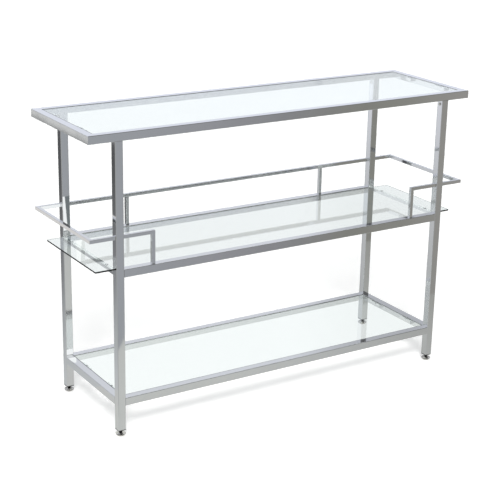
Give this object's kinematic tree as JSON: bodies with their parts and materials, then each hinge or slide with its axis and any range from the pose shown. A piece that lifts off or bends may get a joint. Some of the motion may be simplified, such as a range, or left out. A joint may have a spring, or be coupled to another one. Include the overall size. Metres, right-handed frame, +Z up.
{
  "type": "console table",
  "caption": "Long narrow console table: chrome square-tube frame, clear glass shelves, low gallery rail round the middle shelf, levelling glides under the legs.",
  "frame": {"origin": "on the floor, under the middle of the table, glides at the reach the picture shows", "axes": "+X along the table to the right of someone standing at its front, +Y from front to back, +Z up"},
  "size_m": [1.372, 0.4004, 0.94],
  "materials": {
    "chrome_tube": "polished chrome plate on square tube",
    "chrome_bar": "polished chrome plate on thin square bar",
    "clear_glass": "clear float glass, polished arrises, green at the edges",
    "clear_pad": "clear soft plastic bumper",
    "black_plastic": "moulded black plastic",
    "nickel_cup": "pressed steel, nickel plated",
    "dark_thread": "blackened steel thread",
    "zinc_steel": "zinc-plated steel",
    "screw_steel": "bright steel screw"
  },
  "bodies": {
    "frame": {"bottom_glass": "clear_glass", "bottom_glass_blocks": "chrome_bar", "bottom_glass_pads": "clear_pad", "bottom_rail_back": "chrome_tube", "bottom_rail_front": "chrome_tube", "bottom_rail_left": "chrome_tube", "bottom_rail_right": "chrome_tube", "gallery_arm_back_left": "chrome_bar", "gallery_arm_back_right": "chrome_bar", "gallery_arm_front_left": "chrome_bar", "gallery_arm_front_right": "chrome_bar", "gallery_back_post_left": "chrome_bar", "gallery_back_post_right": "chrome_bar", "gallery_back_rail": "chrome_bar", "gallery_end_rail_left": "chrome_bar", "gallery_end_rail_right": "chrome_bar", "gallery_hook_post_left": "chrome_bar", "gallery_hook_post_right": "chrome_bar", "gallery_hook_rail_left": "chrome_bar", "gallery_hook_rail_right": "chrome_bar", "leg_back_left": "chrome_tube", "leg_back_right": "chrome_tube", "leg_front_left": "chrome_tube", "leg_front_right": "chrome_tube", "leg_inserts": "zinc_steel", "leg_plug_back_left": "black_plastic", "leg_plug_back_right": "black_plastic", "leg_plug_front_left": "black_plastic", "leg_plug_front_right": "black_plastic", "leg_screws": "screw_steel", "leg_spigots": "zinc_steel", "middle_cross_bar_left": "chrome_bar", "middle_cross_bar_right": "chrome_bar", "middle_glass": "clear_glass", "middle_glass_pads": "clear_pad", "middle_rail_back": "chrome_tube", "middle_rail_front": "chrome_tube", "top_glass": "clear_glass", "top_glass_blocks": "chrome_bar", "top_glass_pads": "clear_pad", "top_rail_back": "chrome_tube", "top_rail_front": "chrome_tube", "top_rail_left": "chrome_tube", "top_rail_right": "chrome_tube"},
    "cup_front_left": {"glide_cup_front_left": "nickel_cup"},
    "stem_front_left": {"glide_stem_front_left": "dark_thread"},
    "cup_front_right": {"glide_cup_front_right": "nickel_cup"},
    "stem_front_right": {"glide_stem_front_right": "dark_thread"},
    "cup_back_left": {"glide_cup_back_left": "nickel_cup"},
    "stem_back_left": {"glide_stem_back_left": "dark_thread"},
    "cup_back_right": {"glide_cup_back_right": "nickel_cup"},
    "stem_back_right": {"glide_stem_back_right": "dark_thread"}
  },
  "joints": [
    {"name": "glide_height_front_left", "type": "slide", "parent": "frame", "child": "cup_front_left", "axis": [0, 0, 1], "range_m": [0, 0.01]},
    {"name": "glide_turn_front_left", "type": "hinge", "parent": "cup_front_left", "child": "stem_front_left", "pos_m": [-0.5905, -0.1845, 0], "axis": [0, 0, 1], "range_deg": [0, 2401]},
    {"name": "glide_height_front_right", "type": "slide", "parent": "frame", "child": "cup_front_right", "axis": [0, 0, 1], "range_m": [0, 0.01]},
    {"name": "glide_turn_front_right", "type": "hinge", "parent": "cup_front_right", "child": "stem_front_right", "pos_m": [0.5905, -0.1845, 0], "axis": [0, 0, 1], "range_deg": [0, 2401]},
    {"name": "glide_height_back_left", "type": "slide", "parent": "frame", "child": "cup_back_left", "axis": [0, 0, 1], "range_m": [0, 0.01]},
    {"name": "glide_turn_back_left", "type": "hinge", "parent": "cup_back_left", "child": "stem_back_left", "pos_m": [-0.5905, 0.1845, 0], "axis": [0, 0, 1], "range_deg": [0, 2401]},
    {"name": "glide_height_back_right", "type": "slide", "parent": "frame", "child": "cup_back_right", "axis": [0, 0, 1], "range_m": [0, 0.01]},
    {"name": "glide_turn_back_right", "type": "hinge", "parent": "cup_back_right", "child": "stem_back_right", "pos_m": [0.5905, 0.1845, 0], "axis": [0, 0, 1], "range_deg": [0, 2401]}
  ],
  "couplings": [
    {"joint": "glide_turn_front_left", "follows": "glide_height_front_left", "rad_per_m": 4188.8},
    {"joint": "glide_turn_front_right", "follows": "glide_height_front_right", "rad_per_m": 4188.8},
    {"joint": "glide_turn_back_left", "follows": "glide_height_back_left", "rad_per_m": 4188.8},
    {"joint": "glide_turn_back_right", "follows": "glide_height_back_right", "rad_per_m": 4188.8}
  ]
}
